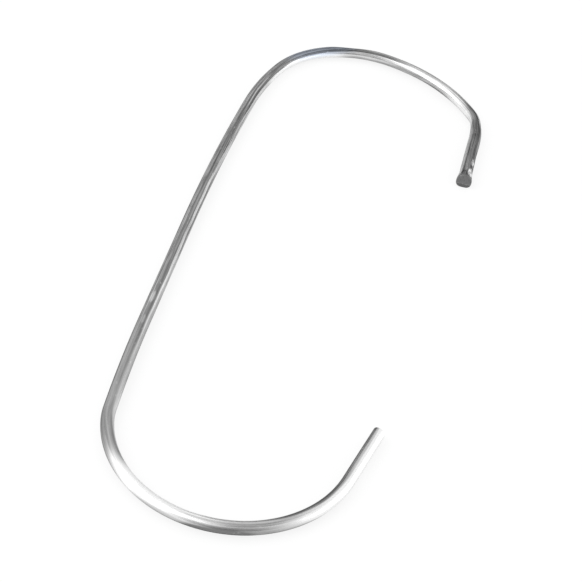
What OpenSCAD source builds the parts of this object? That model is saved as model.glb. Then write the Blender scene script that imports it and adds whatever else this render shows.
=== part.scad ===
// C hook: one length of round steel wire, bent into a long back with a wide hook at each end, both
// open to the same side. It lies flat: the back runs along Y, the hooks open towards +X, and the
// origin is under the middle of the outline, on the surface that the hook lies on.

/* [Wire] */
// Diameter of the drawn wire
wire_d = 3; // [2:0.1:5]

/* [Back] */
// Length of the straight middle of the back
back_l = 37.5; // [10:0.5:120]
// Radius of the slight bow between the middle of the back and the upper hook
upper_bow_r = 700; // [300:10:1200]
// Angle that the upper bow turns through
upper_bow_a = 4.5; // [1:0.1:8]
// Radius of the slight bow between the middle of the back and the lower hook
lower_bow_r = 480; // [300:10:1200]
// Angle that the lower bow turns through
lower_bow_a = 3.5; // [1:0.1:8]

/* [Upper hook] */
// Radius of the easy shoulder, where the wire starts to leave the back
shoulder_r = 73; // [40:1:120]
// Angle of the shoulder
shoulder_a = 15; // [4:0.5:30]
// Radius of the main bend
upper_bend_r = 25.5; // [18:0.5:40]
// Angle of the main bend
upper_bend_a = 80; // [60:1:95]
// Radius of the flatter stretch past the top of the hook
crown_r = 41; // [30:1:70]
// Angle of the flatter stretch
crown_a = 45; // [20:1:50]
// Radius of the tight bend before the upper end
nose_r = 10; // [6:0.5:20]
// Angle of the tight bend
nose_a = 23; // [10:1:35]
// Radius of the easy bend that runs on from the tight one
ease_r = 34; // [15:1:60]
// Angle of the easy bend
ease_a = 12.5; // [4:0.5:20]
// Length of the straight upper end
upper_leg_l = 19.5; // [14:0.5:35]

/* [Lower hook] */
// Radius of the tighter bend where the wire leaves the back
heel_r = 19; // [8:0.5:30]
// Angle of the tighter bend
heel_a = 11; // [4:0.5:20]
// Radius of the main bend
lower_bend_r = 27.5; // [18:0.5:40]
// Angle of the main bend
lower_bend_a = 152.5; // [110:0.5:165]
// Length of the straight lower end
lower_leg_l = 16.5; // [6:0.5:35]

/* [Cropped ends] */
// How much the wire swells on its way to the upper end, all round
swell = 0.2; // [0.05:0.05:0.5]
// Length over which the upper end swells, its flare included
swell_l = 12; // [5:0.5:13]
// How much further the shears spread the edge of the upper end, all round
flare = 0.35; // [0.1:0.05:0.8]
// Length over which the edge of the upper end flares
flare_l = 3; // [1.5:0.5:4]
// Radius of the rim round the upper end's face
rim_r = 0.3; // [0.1:0.05:0.6]
// How far below its middle the upper end's face starts to slant, where the wire broke away
breakout_drop = 0.8; // [0:0.1:1.2]
// Angle of the broken part of the upper end's face
breakout_a = 20; // [5:1:40]
// Angle of the lower end's face, away from square
crop_a = 10; // [0:1:40]

/* [Hidden] */

wire_r = wire_d / 2;
end_r = wire_r + swell + flare;

// Every second stretch of the wire is drawn a hair thinner and runs a little way into the stretches
// on either side of it, so that smooth bends meet in clean seams.
seam_step = 0.005;
seam_lap = 0.1;
function is_thin(stretch) = stretch % 2 == 0;
function section_r(stretch) = is_thin(stretch) ? wire_r - seam_step : wire_r;
function lap(stretch) = is_thin(stretch) ? seam_lap : 0;

// Each hook is a run of bends, [radius, angle], from the middle of the back to the straight end. The
// first bend is stretch 0, and the middle of the back is the stretch before it.
back = -1;
upper_bends = [
    [upper_bow_r, upper_bow_a],
    [shoulder_r, shoulder_a],
    [upper_bend_r, upper_bend_a],
    [crown_r, crown_a],
    [nose_r, nose_a],
    [ease_r, ease_a]
];
lower_bends = [
    [lower_bow_r, lower_bow_a],
    [heel_r, heel_a],
    [lower_bend_r, lower_bend_a]
];

// Place and heading of the wire's axis, [x, y, heading], once it has turned by an angle. The heading
// is measured from the back's direction, and grows towards the open side.
function turned(p, r, a) = [
    p[0] + r * (cos(p[2]) - cos(p[2] + a)),
    p[1] + r * (sin(p[2] + a) - sin(p[2])),
    p[2] + a
];
function after(bends, count) = count == 0
    ? [0, back_l / 2, 0]
    : turned(after(bends, count - 1), bends[count - 1][0], bends[count - 1][1]);
// Places along a run, close enough together for the outermost one to give its reach
function places(bends) = [
    for (i = [0 : len(bends) - 1])
        for (share = [0 : 0.02 : 1])
            turned(after(bends, i), bends[i][0], bends[i][1] * share)
];
// How far a run reaches along the back, and how far out from it with its straight end
function reach_along(bends) = wire_r + max([for (p = places(bends)) p[1]]);
function reach_out(bends, leg_l, tip_r) = let (p = after(bends, len(bends))) max(
    wire_r + max([for (q = places(bends)) q[0]]),
    p[0] + leg_l * sin(p[2]) + tip_r * abs(cos(p[2]))
);

outline_top = reach_along(upper_bends);
outline_bottom = -reach_along(lower_bends);
outline_left = -wire_r;
outline_right = max(
    reach_out(upper_bends, upper_leg_l, end_r),
    reach_out(lower_bends, lower_leg_l, wire_r)
);

// One bend of the wire: it starts at the origin along +Y and turns towards +X.
module bend(r, a, stretch) {
    lap_a = lap(stretch) / r * 180 / PI;
    translate([r, 0, 0])
        rotate([0, 0, 180 - a - lap_a])
            rotate_extrude(angle = a + 2 * lap_a, $fn = 360)
                translate([r, 0])
                    circle(r = section_r(stretch), $fn = 48);
}

// A straight stretch of the wire, from the origin along +Y
module straight(l, stretch) {
    translate([0, -lap(stretch), 0])
        rotate([-90, 0, 0])
            cylinder(r = section_r(stretch), h = l + 2 * lap(stretch), $fn = 48);
}

// The bends one after another, with the children where the last one ends
module run(bends, stretch = 0) {
    if (stretch < len(bends)) {
        r = bends[stretch][0];
        a = bends[stretch][1];
        bend(r, a, stretch);
        translate([r * (1 - cos(a)), r * sin(a), 0])
            rotate([0, 0, -a])
                run(bends, stretch + 1)
                    children();
    } else {
        children();
    }
}

// The swollen end with its flare and rounded rim, from its face at the origin back along -Y
module swollen_solid() {
    rim = [for (t = [0 : 15 : 90]) [end_r - rim_r * (1 - sin(t)), rim_r * (1 - cos(t))]];
    neck = [[wire_r + swell, flare_l], [wire_r, swell_l], [0, swell_l]];
    rotate([90, 0, 0])
        rotate_extrude($fn = 48)
            polygon(concat([[0, 0]], rim, neck));
}

// The upper end: the shears have spread it, and the lower part of its face broke away at a slant.
module upper_end() {
    straight(upper_leg_l - swell_l, len(upper_bends));
    translate([0, upper_leg_l, 0])
        difference() {
            swollen_solid();
            translate([0, 0, -breakout_drop])
                rotate([-breakout_a, 0, 0])
                    translate([-2 * end_r, 0, -4 * end_r])
                        cube([4 * end_r, 4 * end_r, 4 * end_r]);
        }
}

// The lower end: cropped at a slant, longest on the side that faces into the hook
module lower_end() {
    difference() {
        straight(lower_leg_l + wire_d, len(lower_bends));
        translate([0, lower_leg_l, 0])
            rotate([0, 0, -crop_a])
                translate([-4 * wire_d, 0, -2 * wire_d])
                    cube([8 * wire_d, 4 * wire_d, 4 * wire_d]);
    }
}

module c_hook() {
    color("silver")
        translate([
            -(outline_left + outline_right) / 2,
            -(outline_top + outline_bottom) / 2,
            end_r
        ]) {
            translate([0, -back_l / 2, 0])
                straight(back_l, back);
            translate([0, back_l / 2, 0])
                run(upper_bends)
                    upper_end();
            mirror([0, 1, 0])
                translate([0, back_l / 2, 0])
                    run(lower_bends)
                        lower_end();
        }
}

c_hook();
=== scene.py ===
"""C hook: one length of plated steel wire, bent into a long back with a wide hook at each end.

It lies flat, with its back along Y and both hooks open towards +X. Everything is in metres.
"""

from math import cos, pi, radians, sin, tan

import bpy
import numpy as np
from mathutils import Matrix, Vector


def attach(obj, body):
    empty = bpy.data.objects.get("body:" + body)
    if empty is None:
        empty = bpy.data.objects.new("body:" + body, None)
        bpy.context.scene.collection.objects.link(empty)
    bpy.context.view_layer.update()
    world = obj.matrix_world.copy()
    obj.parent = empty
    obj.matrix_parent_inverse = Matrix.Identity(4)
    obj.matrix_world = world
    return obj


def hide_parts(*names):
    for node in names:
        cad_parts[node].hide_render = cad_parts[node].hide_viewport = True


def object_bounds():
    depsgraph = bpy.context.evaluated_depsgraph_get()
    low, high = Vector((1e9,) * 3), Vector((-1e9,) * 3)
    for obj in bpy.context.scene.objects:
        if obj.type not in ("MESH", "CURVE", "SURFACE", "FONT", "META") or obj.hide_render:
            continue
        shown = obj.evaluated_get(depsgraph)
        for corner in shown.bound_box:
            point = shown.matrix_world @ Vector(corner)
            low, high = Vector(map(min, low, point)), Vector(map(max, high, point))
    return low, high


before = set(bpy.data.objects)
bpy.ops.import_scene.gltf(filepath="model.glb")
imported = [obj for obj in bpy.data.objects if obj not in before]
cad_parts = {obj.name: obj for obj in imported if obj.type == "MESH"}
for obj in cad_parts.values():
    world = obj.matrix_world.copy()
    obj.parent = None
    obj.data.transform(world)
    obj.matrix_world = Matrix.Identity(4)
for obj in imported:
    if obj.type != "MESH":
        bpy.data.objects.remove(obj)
cad_low, cad_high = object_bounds()

# ------------------------------------------------------------------ the bent wire
# The hook is a single length of round drawn steel wire, plated bright. It is cropped to length with
# shears and bent cold, one easy bend after another, so nothing is joined or fixed to it.

# Each arm is a run of bends, (radius, degrees), from the middle of the straight back to a straight leg.
wire_r = 0.0015
half_back = 0.01875
upper_bends = [(0.700, 4.5), (0.073, 15), (0.0255, 80), (0.041, 45), (0.010, 23), (0.034, 12.5)]
upper_leg = 0.0195
lower_bends = [(0.480, 3.5), (0.019, 11), (0.0275, 152.5)]
lower_leg = 0.0165
walk_step = 0.00018


def straight_steps(length, place):
    """Places along a straight stretch that starts at place, (x, y, heading)."""
    x, y, heading = place
    count = round(length / walk_step)
    for i in range(1, count + 1):
        gone = length * i / count
        yield x + gone * sin(heading), y + gone * cos(heading), heading


def bend_steps(radius, angle, place):
    """Places along a bend that starts at place and turns towards the open side."""
    x, y, heading = place
    count = round(radius * radians(angle) / walk_step)
    for i in range(1, count + 1):
        turned = heading + radians(angle) * i / count
        yield (x + radius * (cos(heading) - cos(turned)),
               y + radius * (sin(turned) - sin(heading)), turned)


def arm(bends, leg):
    """Places along one arm's axis, from the middle of the back to the tip."""
    places = [(0.0, 0.0, 0.0)]
    places += straight_steps(half_back, places[-1])
    for radius, angle in bends:
        places += bend_steps(radius, angle, places[-1])
    places += straight_steps(leg, places[-1])
    return np.array(places)


# The lower arm is mirrored, and walked from its tip back to the middle, where the upper one starts.
mirrored = (1, -1, -1)
lower_arm = arm(lower_bends, lower_leg) * mirrored
line = np.concatenate([lower_arm[:0:-1], arm(upper_bends, upper_leg)])
line[:, 0] += cad_low.x + wire_r
line[:, 1] += (cad_low.y + cad_high.y) / 2 - (line[:, 1].min() + line[:, 1].max()) / 2
walked = np.concatenate([[0], np.cumsum(np.hypot(*np.diff(line[:, :2], axis=0).T))])
wire_length = walked[-1]


def along(from_lower_tip):
    """Centre, forward and inward directions of the wire at distances from its lower tip."""
    x, y, heading = (np.interp(from_lower_tip, walked, line[:, i]) for i in range(3))
    centre = np.stack([x, y, 0 * x], axis=-1)
    ahead = np.stack([np.sin(heading), np.cos(heading), 0 * x], axis=-1)
    inward = np.stack([np.cos(heading), -np.sin(heading), 0 * x], axis=-1)
    return centre, ahead, inward


# The shears squeezed the upper end, so that it swells and then flares into a blunt foot, and the
# lower part of its face broke away at a slant. The lower end is cropped almost square, longest on
# the side that faces into the hook, and its edge is drawn over on the outer side.
swell = 0.0002
swell_length = 0.020
flare = 0.00035
flare_length = 0.003
squeezed_out = 0.00025  # how far the foot's lower corners stand out
rim_r = 0.0003
breakout_drop = 0.0008
breakout_angle = radians(6)
crop_angle = radians(10)
crop_ease = 0.003  # how far back from the slanting crop the rings stand square again
sharp_edge_r = 0.00008
drawn_over_r = 0.0004
points_round = 80
ring_step = 0.0003
rim_steps = 6
face_rings = 12

foot_r = wire_r + swell + flare
axis_height = foot_r  # the foot touches the table, and holds the wire just clear of it

# Angle round the wire: 0 faces into the hook, a quarter turn is up, and the seam is underneath.
around = np.linspace(-pi / 2, 1.5 * pi, points_round, endpoint=False)
facing_in = np.cos(around)
facing_up = np.sin(around)
all_round = np.zeros(points_round)
outer_side = (1 - facing_in) / 2
lower_corners = 4 * np.clip(-facing_up, 0, 1) ** 2 * facing_in ** 2  # 1 at either lower corner
edge_r = sharp_edge_r + (drawn_over_r - sharp_edge_r) * outer_side ** 2
slant = -tan(crop_angle) * facing_in

# Rings, (distance from the lower tip, radius), from the middle of the lower face, over its edge,
# along the wire, round the rim of the foot and in to the middle of its face
edge_turns = np.linspace(0, pi / 2, rim_steps)
face_shares = np.arange(1, face_rings) / face_rings
first_square = drawn_over_r + ring_step
swell_start = wire_length - swell_length
flare_start = wire_length - flare_length
rim_start = wire_length - rim_r

rings = []
for share in face_shares:
    flat_r = share * (wire_r - edge_r)
    rings.append((flat_r * slant, flat_r))
for turned in edge_turns:
    ring_r = wire_r - edge_r * (1 - sin(turned))
    rings.append((ring_r * slant + edge_r * (1 - cos(turned)), ring_r))
for gone in np.arange(first_square, swell_start, ring_step):
    ease = max(0.0, 1 - gone / crop_ease) ** 2
    rings.append((gone + ease * wire_r * slant, wire_r + all_round))
for gone in np.arange(swell_start, flare_start, ring_step):
    share = (gone - swell_start) / (flare_start - swell_start)
    rings.append((gone + all_round, wire_r + share ** 0.5 * swell + all_round))
for gone in np.arange(flare_start, rim_start, ring_step):
    share = (gone - flare_start) / (rim_start - flare_start)
    flared_r = wire_r + swell + share * flare
    rings.append((gone + all_round, flared_r + share ** 2 * squeezed_out * lower_corners))
for turned in edge_turns[::-1]:
    ring_r = foot_r - rim_r * (1 - sin(turned)) + squeezed_out * lower_corners
    rings.append((wire_length - rim_r * (1 - cos(turned)) + all_round, ring_r))
for share in face_shares[::-1]:
    rings.append((wire_length + all_round, share * (foot_r - rim_r + squeezed_out * lower_corners)))
distance = np.array([ring[0] for ring in rings])
radius = np.array([ring[1] for ring in rings])
height = radius * facing_up

# The part of the foot's face that broke away
broken_at = wire_length - np.maximum(0, -breakout_drop - height) * tan(breakout_angle)
distance = np.minimum(distance, broken_at)

# Small marks on the wire: (distance from the upper tip, degrees round the wire, half length, half
# width, depth). A mark with a depth below 0 stands proud.
marks = [
    (0.0034, 128, 0.0013, 0.00080, 0.00034),  # two nicks by the foot
    (0.0082, 130, 0.0009, 0.00060, 0.00022),
    (0.0190, 175, 0.0080, 0.00300, -0.00022),  # where the bending tool gripped the leg
    (0.0270, 0, 0.0060, 0.00250, 0.00020),  # where the leg was bent over the tool's corner
    (0.0740, 124, 0.0065, 0.00220, 0.00022),  # a flat the tool left on the upper bend
]
for from_tip, angle, half_length, half_width, depth in marks:
    far = (distance - (wire_length - from_tip)) / half_length
    aside = (np.mod(around - radians(angle) + pi, 2 * pi) - pi) * wire_r / half_width
    inside = np.maximum(0, 1 - far ** 2 - aside ** 2)
    radius = radius - depth * inside ** 2

# The slanting crop reaches past the end of the axis, so its points go straight on from there.
centre, ahead, inward = along(distance)
points = centre + inward * (radius * facing_in)[..., None]
points[..., 2] += axis_height + radius * facing_up
past_tip = np.minimum(distance, 0)
points += ahead * past_tip[..., None]

ring_count = len(rings)
last_ring = (ring_count - 1) * points_round
corners = points.reshape(-1, 3).tolist()
lower_middle = len(corners)
upper_middle = lower_middle + 1
corners.append(points[0].mean(axis=0).tolist())
corners.append(points[-1].mean(axis=0).tolist())
faces = []
for j in range(points_round):
    k = (j + 1) % points_round
    faces.append((lower_middle, j, k))
    faces.append((upper_middle, last_ring + k, last_ring + j))
    for i in range(0, last_ring, points_round):
        faces.append((i + k, i + j, i + points_round + j, i + points_round + k))


def put_in_scene(name, data):
    """A new object in the scene, made of a mesh, lamp or camera."""
    thing = bpy.data.objects.new(name, data)
    bpy.context.scene.collection.objects.link(thing)
    return thing


wire_mesh = bpy.data.meshes.new("bent_wire")
wire_mesh.from_pydata(corners, [], faces)
wire_mesh.shade_smooth()
wire = put_in_scene("bent_wire", wire_mesh)

# Where each point is on the wire, in millimetres: across the section, and along from the lower tip
mm = 1000
on_section = np.stack([radius * facing_in, radius * facing_up], axis=-1)
spots = np.concatenate([on_section, distance[..., None]], axis=-1).reshape(-1, 3)
spots = np.concatenate([spots, [(0, 0, 0), (0, 0, wire_length)]]) * mm
on_wire = wire_mesh.attributes.new("on_wire", "FLOAT_VECTOR", "POINT")
on_wire.data.foreach_set("vector", spots.astype(np.float32).ravel())


def unrolled_place(corner):
    """Where a corner lies on the wire's surface, unrolled, from 0 to 1 round it and along it."""
    if corner == lower_middle:
        return 0.5, 0.0
    if corner == upper_middle:
        return 0.5, 1.0
    return (corner % points_round) / points_round, (corner // points_round) / ring_count


# The surface unrolled, so that the gloss can spread across the die lines. A face that would reach
# back over the seam runs on past 1 instead.
seam_reach = 0.75
unrolled_places = []
for face in faces:
    face_places = [unrolled_place(corner) for corner in face]
    rounds = [u for u, v in face_places]
    crosses_seam = max(rounds) - min(rounds) > seam_reach
    unrolled_places += [(u + 1 if crosses_seam and u < 0.5 else u, v) for u, v in face_places]
unrolled = wire_mesh.uv_layers.new(name="unrolled")
unrolled.uv.foreach_set("vector", np.array(unrolled_places, np.float32).ravel())

# Painted highlights and painted shade: the colour is painted lighter along the bends, where the metal
# shows bright reflections, and darker along the back and the upper end, where it shows dark ones. Each
# patch is a soft oval: (mm from the lower tip, half its length in mm, degrees round the wire, half its
# width in degrees, how much lighter or darker it is painted).
# The colour runs from painted shade to painted highlight; the lighter colour is also the bare metal that
# scuffs show.
painted_shade_steel = (0.22, 0.22, 0.22, 1)
highlight_and_scuff_steel = (0.90, 0.90, 0.90, 1)
# a faint blue reflection, painted over the top of the upper bend
blue_reflection_tint = (0.92, 1.0, 1.15, 1)
plain_plating = 0.28
patches = [
    # the lower leg and the bottom
    (6, 38, 140, 116, 1.05),
    (13, 31, 64, 42, -0.86),
    (14, 26, 40, 26, 0.36),
    (45, 14, 70, 45, 0.20),
    (50, 9, 190, 60, -0.45),
    # the heel
    (64.5, 18.5, 120, 125, 0.74),
    (66, 14, 30, 70, 0.45),
    (69, 11, 126, 46, -0.24),
    (60, 12, 190, 42, -0.45),
    (85, 9, 128, 32, -0.12),
    (88, 9, 70, 30, -0.12),
    (86, 18, 10, 45, 0.30),
    # the back: painted shade along its middle, a painted pale stripe along it, its inner side and its
    # outer rim
    (115, 30, 85, 30, -0.15),
    (160, 60, 78, 36, -0.26),
    (162, 54, 52, 22, 0.55),
    (112, 34, 30, 40, 0.12),
    (155, 34, 12, 34, 0.25),
    (210, 36, 14, 34, 0.45),
    (196, 80, 150, 45, 0.09),
    # thin dark lines painted along the back
    (219, 16, 49, 15, -1.00),
    (200, 27, 57, 8, -0.75),
    (158, 36, 65, 8, -0.65),
    (205, 25, 85, 9, -0.75),
    (172, 30, 91, 8, -0.60),
    (202, 13, 22, 8, -0.50),
    (162, 22, 25, 9, -0.40),
    # the upper bend: a painted highlight on its inner side, painted shade on its outer side, and its rim
    (241, 19, -18, 64, 0.95),
    (246, 24, 66, 36, -0.14),
    (242, 20, 40, 18, -0.40),
    (263, 16, 68, 32, -0.20),
    (262, 16, 20, 45, 0.35),
    (266, 13, 104, 26, 0.45),
    # the crown and the nose
    (284.5, 19, 72, 84, 0.24),
    (289, 23, 50, 70, 0.10),
    (284, 18, 114, 24, 0.25),
    (300, 12, -5, 60, 0.42),
    (301, 10, 130, 24, 0.60),
    # the upper leg
    (316, 26, 24, 44, 0.20),
    (319, 24, 80, 55, -0.18),
    (305, 9, 92, 55, -0.25),
    (318, 20, 120, 25, -0.20),
    (318, 20, 97, 11, -0.60),
    # the nicks by the foot: rubbed bright, with a painted glint on each
    (330.6, 2.0, 128, 34, 1.2),
    (325.8, 1.6, 130, 24, 0.8),
    # small painted highlights across the back
    (129.5, 2.6, 96, 32, 0.30),
    (121.5, 2.0, 90, 24, 0.20),
]
painted_blue_reflection_patch = (249, 14, 105, 140)  # the top of the upper bend, with a faint painted blue reflection
matt_patch = (72, 15, 100, 150)  # the start of the heel, less glossy
streaks_fade = (118, 140)  # mm from the lower tip
streaks_strength = (0.4, 1.0)  # at those two places: the streaks are fainter on the lower hook
wavers = [(2, 9.1, 0), (1.5, 4.3, 1), (1.5, 1.7, 2)]  # a patch's sides: (degrees, mm, start)
soft_share = 0.5  # how much of a patch fades towards its edge


def patch_weight(middle, half_length, angle, half_width):
    """How strong a soft oval patch is at each point of the wire, from 0 outside it to 1 inside."""
    gone = distance * mm
    waver = sum(size * np.sin(gone / length + start) for size, length, start in wavers)
    far = (gone - middle) / half_length
    aside = (np.mod(np.degrees(around) + waver - angle + 180, 360) - 180) / half_width
    inside = np.clip((1 - np.hypot(far, aside)) / soft_share, 0, 1)
    return inside * inside * (3 - 2 * inside)


def keep_on_points(name, values):
    """Store one number a point on the wire's mesh, for its materials."""
    middles = [values[0].mean(), values[-1].mean()]
    kept = wire_mesh.attributes.new(name, "FLOAT", "POINT")
    kept.data.foreach_set("value", np.append(values.ravel(), middles).astype(np.float32))


# Painted highlights and shade, and the rubs by the foot, added up from the patches
painted_sheen_shade_and_rubs = np.full(distance.shape, plain_plating)
for middle, half_length, angle, half_width, change in patches:
    painted_sheen_shade_and_rubs = painted_sheen_shade_and_rubs + change * patch_weight(middle, half_length, angle, half_width)
below_break = np.where(distance > wire_length / 2, -height - breakout_drop, -1)
keep_on_points("painted_sheen_shade_and_rubs", painted_sheen_shade_and_rubs)
keep_on_points("streaky", np.interp(distance * mm, streaks_fade, streaks_strength))
keep_on_points("blue_reflection_mask", patch_weight(*painted_blue_reflection_patch))
keep_on_points("matt", patch_weight(*matt_patch))
keep_on_points("below_break", below_break * mm)


def feed(tree, socket, value):
    """Join a socket to another node's output, or set it to a plain value."""
    if isinstance(value, bpy.types.NodeSocket):
        tree.links.new(value, socket)
    else:
        socket.default_value = value


def add(tree, kind, **inputs):
    """A new node, with its inputs set to values or joined to other nodes' outputs."""
    node = tree.nodes.new("ShaderNode" + kind)
    for name, value in inputs.items():
        feed(tree, node.inputs[name.replace("_", " ")], value)
    return node


def reckon(tree, operation, *values):
    """The outcome of one step of arithmetic on values or other nodes' outputs."""
    node = add(tree, "Math")
    node.operation = operation
    for socket, value in zip(node.inputs, values):
        feed(tree, socket, value)
    return node.outputs[0]


def spread_over(tree, value, low, high, to_low=0.0, to_high=1.0):
    """A value between low and high, carried over to another range and held inside it."""
    node = add(tree, "MapRange", Value=value, From_Min=low, From_Max=high, To_Min=to_low, To_Max=to_high)
    return node.outputs["Result"]


def blend(tree, how, share, first, second):
    """Two colours mixed in the given way."""
    node = add(tree, "Mix", Factor=share)
    node.data_type = "RGBA"
    node.blend_type = how
    colours = [socket for socket in node.inputs if socket.type == "RGBA"]
    for socket, value in zip(colours, (first, second)):
        feed(tree, socket, value)
    return next(socket for socket in node.outputs if socket.type == "RGBA")


def read_off_points(tree, name, output="Fac"):
    """What is kept on the wire's points under a name."""
    node = add(tree, "Attribute")
    node.attribute_name = name
    return node.outputs[output]


def grain(tree, place, to_a_mm, detail, roughness):
    """Noise with so many grains to a millimetre: towards the inside, upwards, and along the wire."""
    stretched = add(tree, "Mapping", Vector=place, Scale=to_a_mm)
    noise = add(tree, "TexNoise", Vector=stretched.outputs["Vector"], Scale=1.0, Detail=detail,
                Roughness=roughness)
    return noise.outputs["Fac"]


# Drawing through the die left fine lines along the wire, with wider bands and a mottle in the
# plating over them, and handling left short scuffs.
plating = bpy.data.materials.new("plated_wire")
plating.use_nodes = True
tree = plating.node_tree
shader = tree.nodes["Principled BSDF"]
place = read_off_points(tree, "on_wire", "Vector")
streaky = read_off_points(tree, "streaky")
die_lines = grain(tree, place, (3.0, 3.0, 0.04), detail=3.0, roughness=0.7)
bands = grain(tree, place, (1.1, 1.1, 0.022), detail=1.0, roughness=0.5)
mottle = grain(tree, place, (0.7, 0.7, 0.16), detail=3.0, roughness=0.55)
scuffs = grain(tree, place, (1.6, 1.6, 0.9), detail=4.0, roughness=0.65)

# Brightness, from 0, the darkest, to 1, the brightest: the painted highlights and shade, with a random
# banding and mottle in the plating
band_change = 0.20
mottle_change = 0.25
banding = spread_over(tree, bands, low=0.0, high=1.0, to_low=-band_change, to_high=band_change)
mottling = spread_over(tree, mottle, low=0.0, high=1.0, to_low=-mottle_change, to_high=mottle_change)
unevenness = reckon(tree, "ADD", banding, mottling)
unevenness = reckon(tree, "MULTIPLY", unevenness, streaky)
brightness = reckon(tree, "ADD", read_off_points(tree, "painted_sheen_shade_and_rubs"), unevenness)
brightness = spread_over(tree, brightness, low=0.0, high=1.0)

# Colour: painted shade and highlights, the die lines deepest where the colour is painted darkest, and
# the scuffs show bright metal.
lines_on_dull = 0.62
lines_on_bright = 0.15
most_scuffed = 0.35
lines_depth = spread_over(tree, brightness, low=0.3, high=1.0, to_low=lines_on_dull,
                          to_high=lines_on_bright)
lines_depth = reckon(tree, "MULTIPLY", streaky, lines_depth)
lines_shade = spread_over(tree, die_lines, low=0.34, high=0.66, to_low=-1.0, to_high=1.0)
lines_shade = reckon(tree, "MULTIPLY", lines_depth, lines_shade)
lines_shade = reckon(tree, "ADD", 1.0, lines_shade)
scuffed = spread_over(tree, scuffs, low=0.62, high=0.72, to_high=most_scuffed)
colour = blend(tree, "MIX", brightness, painted_shade_steel, highlight_and_scuff_steel)
colour = blend(tree, "MULTIPLY", 1.0, colour, lines_shade)
colour = blend(tree, "MIX", scuffed, colour, highlight_and_scuff_steel)
# A faint blue reflection painted on the top of the upper bend
colour_with_blue_reflection = blend(tree, "MULTIPLY", 1.0, colour, blue_reflection_tint)
colour = blend(tree, "MIX", read_off_points(tree, "blue_reflection_mask"), colour, colour_with_blue_reflection)
tree.links.new(colour, shader.inputs["Base Color"])

# Gloss: where the colour is painted brighter the surface is a little smoother, and the edge tint follows
# that painted brightness, which darkens the grazing reflection along the rims where shade is painted.
dull_roughness = 0.30
bright_roughness = 0.27
mottle_smooths = -0.05
mottle_roughens = 0.07
matt_roughens = 0.20
dull_tint = 0.25
bright_tint = 0.95
gloss_across_lines = 0.5
roughness = spread_over(tree, brightness, low=0.0, high=1.0, to_low=dull_roughness,
                        to_high=bright_roughness)
mottled = spread_over(tree, mottle, low=0.35, high=0.65, to_low=mottle_smooths, to_high=mottle_roughens)
matted = reckon(tree, "MULTIPLY", read_off_points(tree, "matt"), matt_roughens)
roughness = reckon(tree, "ADD", roughness, mottled)
roughness = reckon(tree, "ADD", roughness, matted)
edge_tint = spread_over(tree, brightness, low=0.2, high=1.0, to_low=dull_tint, to_high=bright_tint)
tree.links.new(roughness, shader.inputs["Roughness"])
tree.links.new(edge_tint, shader.inputs["Specular Tint"])
shader.inputs["Metallic"].default_value = 1.0
shader.inputs["Anisotropic"].default_value = gloss_across_lines
round_wire = add(tree, "Tangent")
round_wire.direction_type = "UV_MAP"
round_wire.uv_map = "unrolled"
tree.links.new(round_wire.outputs["Tangent"], shader.inputs["Tangent"])

line_bump = add(tree, "Bump", Height=die_lines, Strength=1.0, Distance=0.00004)
band_bump = add(tree, "Bump", Height=bands, Strength=1.0, Distance=0.00006,
                Normal=line_bump.outputs["Normal"])
scuff_bump = add(tree, "Bump", Height=scuffs, Strength=0.4, Distance=0.00002,
                 Normal=band_bump.outputs["Normal"])
tree.links.new(scuff_bump.outputs["Normal"], shader.inputs["Normal"])
wire_mesh.materials.append(plating)

# The two cropped faces are bare torn steel, dull beside the plating. Where the foot's face broke
# away there is a ragged bright burr, and darker broken metal below it.
bare_steel = (0.15, 0.15, 0.15, 1)
torn_steel = (0.24, 0.24, 0.24, 1)
broken_steel = (0.14, 0.14, 0.14, 1)
burr_steel = (0.36, 0.36, 0.36, 1)
raggedness = 0.28  # how far the burr's line wanders, in mm
torn_roughness = 0.5
cropped = bpy.data.materials.new("cropped_steel")
cropped.use_nodes = True
crop_tree = cropped.node_tree
crop_shader = crop_tree.nodes["Principled BSDF"]
crop_place = read_off_points(crop_tree, "on_wire", "Vector")
tearing = grain(crop_tree, crop_place, (5, 1.2, 1), detail=4.0, roughness=0.65)
ragged = grain(crop_tree, crop_place, (1.7, 1.7, 1.7), detail=3.0, roughness=0.6)
ragged = spread_over(crop_tree, ragged, low=0.3, high=0.7, to_low=-raggedness, to_high=raggedness)
mm_below = reckon(crop_tree, "ADD", read_off_points(crop_tree, "below_break"), ragged)
torn = spread_over(crop_tree, tearing, low=0.35, high=0.7)
in_burr = spread_over(crop_tree, mm_below, low=-0.06, high=0.02)
under_burr = spread_over(crop_tree, mm_below, low=0.06, high=0.16)
crop_colour = blend(crop_tree, "MIX", torn, bare_steel, torn_steel)
crop_colour = blend(crop_tree, "MIX", in_burr, crop_colour, burr_steel)
crop_colour = blend(crop_tree, "MIX", under_burr, crop_colour, broken_steel)
crop_tree.links.new(crop_colour, crop_shader.inputs["Base Color"])
torn_bump = add(crop_tree, "Bump", Height=tearing, Strength=0.8, Distance=0.00008)
crop_tree.links.new(torn_bump.outputs["Normal"], crop_shader.inputs["Normal"])
crop_shader.inputs["Metallic"].default_value = 1.0
crop_shader.inputs["Roughness"].default_value = torn_roughness
wire_mesh.materials.append(cropped)

# Every face that lies inside the rim of either end is cropped.
lower_face_end = (face_rings + 1) * points_round
upper_face_start = (ring_count - face_rings - rim_steps) * points_round
is_cropped = [max(face) < lower_face_end or min(face) >= upper_face_start
              or max(face) >= lower_middle for face in faces]
wire_mesh.polygons.foreach_set("material_index", np.array(is_cropped, np.int32))

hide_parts("c_hook")
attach(wire, "root")

# ------------------------------------------------------------------ the white table
# The hook lies loose on a plain table painted matt white, wide enough to run out of every view. The
# eye and the metal see it mostly as plain white, and the rest of it keeps the hook's shadow.
table_size = 6.0
table_white = 0.88
table_glow = 0.8  # how much of the plain white lies over the shadow


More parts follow.
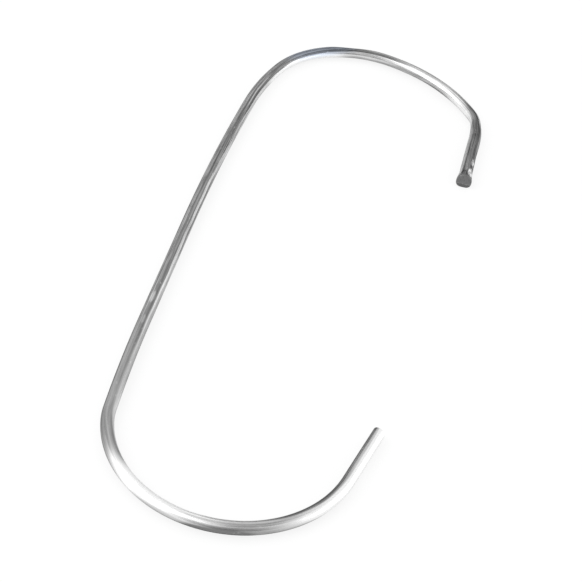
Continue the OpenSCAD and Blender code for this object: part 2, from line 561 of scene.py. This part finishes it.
def flat_sheet(name, width, tall):
    """A flat rectangle about its own middle."""
    side = width / 2
    end = tall / 2
    four_corners = [(-side, -end, 0), (side, -end, 0), (side, end, 0), (-side, end, 0)]
    mesh = bpy.data.meshes.new(name)
    mesh.from_pydata(four_corners, [], [(0, 1, 2, 3)])
    return put_in_scene(name, mesh)


table = flat_sheet("white_table", table_size, table_size)
table_paint = bpy.data.materials.new("white_table")
table_paint.use_nodes = True
table_tree = table_paint.node_tree
table_tree.nodes.clear()
matt_paint = add(table_tree, "BsdfDiffuse", Color=(table_white, table_white, table_white, 1))
plain_white = add(table_tree, "Emission")
rays = add(table_tree, "LightPath")
seen = reckon(table_tree, "MAXIMUM", rays.outputs["Is Camera Ray"], rays.outputs["Is Glossy Ray"])
seen = reckon(table_tree, "MAXIMUM", seen, rays.outputs["Is Transmission Ray"])
painted = add(table_tree, "MixShader", Fac=reckon(table_tree, "MULTIPLY", seen, table_glow))
table_tree.links.new(matt_paint.outputs["BSDF"], painted.inputs[1])
table_tree.links.new(plain_white.outputs["Emission"], painted.inputs[2])
add(table_tree, "OutputMaterial", Surface=painted.outputs["Shader"])
table.data.materials.append(table_paint)

# ------------------------------------------------------------------ the studio
# Plain grey cards stand round the hook, seen only in the metal, to draw the dark lines along the
# wire. Two soft boxes and a white room light it.


def place_facing(thing, azimuth, elevation, away):
    """Puts a thing at a bearing from the hook, anticlockwise from +X, facing the hook."""
    az = radians(azimuth)
    el = radians(elevation)
    bearing = Vector((cos(az) * cos(el), sin(az) * cos(el), sin(el)))
    thing.location = bearing * away
    thing.rotation_euler = bearing.to_track_quat("Z", "Y").to_euler()


def card(name, grey, width, tall, azimuth, elevation, away):
    """A flat grey card that only the metal sees."""
    piece = flat_sheet(name, width, tall)
    paint = bpy.data.materials.new(name)
    paint.use_nodes = True
    paint.node_tree.nodes.clear()
    flat_grey = add(paint.node_tree, "Emission", Color=(grey, grey, grey, 1))
    add(paint.node_tree, "OutputMaterial", Surface=flat_grey.outputs["Emission"])
    piece.data.materials.append(paint)
    place_facing(piece, azimuth, elevation, away)
    piece.visible_camera = False
    piece.visible_diffuse = False
    piece.visible_transmission = False
    piece.visible_shadow = False


def soft_box(name, brightness, width, tall, azimuth, elevation, away):
    """A soft box whose face has the given brightness, where 1 is white."""
    lamp = bpy.data.lights.new(name, "AREA")
    lamp.shape = "RECTANGLE"
    lamp.size = width
    lamp.size_y = tall
    lamp.energy = brightness * pi * width * tall
    place_facing(put_in_scene(name, lamp), azimuth, elevation, away)


card("far_card", grey=0.40, width=0.64, tall=0.20, azimuth=92, elevation=11, away=0.4)
card("front_card", grey=0.5, width=0.8, tall=0.7, azimuth=-82, elevation=15, away=0.8)
card("top_card", grey=0.6, width=0.7, tall=0.5, azimuth=60, elevation=80, away=0.8)
soft_box("left_box", brightness=1.4, width=0.8, tall=0.9, azimuth=-155, elevation=38, away=0.8)
soft_box("right_box", brightness=1.5, width=0.6, tall=0.45, azimuth=8, elevation=8, away=0.6)

room = bpy.data.worlds.new("studio")
bpy.context.scene.world = room
room.use_nodes = True
room.node_tree.nodes["Background"].inputs["Strength"].default_value = 1.0
room.node_tree.nodes["Background"].inputs["Color"].default_value = (1, 1, 1, 1)

bpy.context.scene.view_settings.view_transform = "Standard"

# ------------------------------------------------------------------ the camera
# A camera with a long lens stands a short arm's length away, over the lower hook's side, and looks
# down at the middle of the hook. It is rolled, so that the back leans to the right.
aim = Vector((-0.002184, -0.015182, axis_height))
camera_distance = 0.39847
camera_azimuth = radians(6.045)
camera_elevation = radians(41.703)
camera_roll = radians(10.196)
sensor_mm = 36
lens_mm = 103.447
nearest_seen = 0.01

camera_data = bpy.data.cameras.new("camera")
camera_data.sensor_width = sensor_mm
camera_data.lens = lens_mm
camera_data.clip_start = nearest_seen
camera = put_in_scene("camera", camera_data)
towards_camera = Vector((sin(camera_azimuth) * cos(camera_elevation),
                         -cos(camera_azimuth) * cos(camera_elevation), sin(camera_elevation)))
camera.location = aim + towards_camera * camera_distance
look = (-towards_camera).to_track_quat("-Z", "Y").to_matrix() @ Matrix.Rotation(camera_roll, 3, "Z")
camera.rotation_euler = look.to_euler()
bpy.context.scene.camera = camera
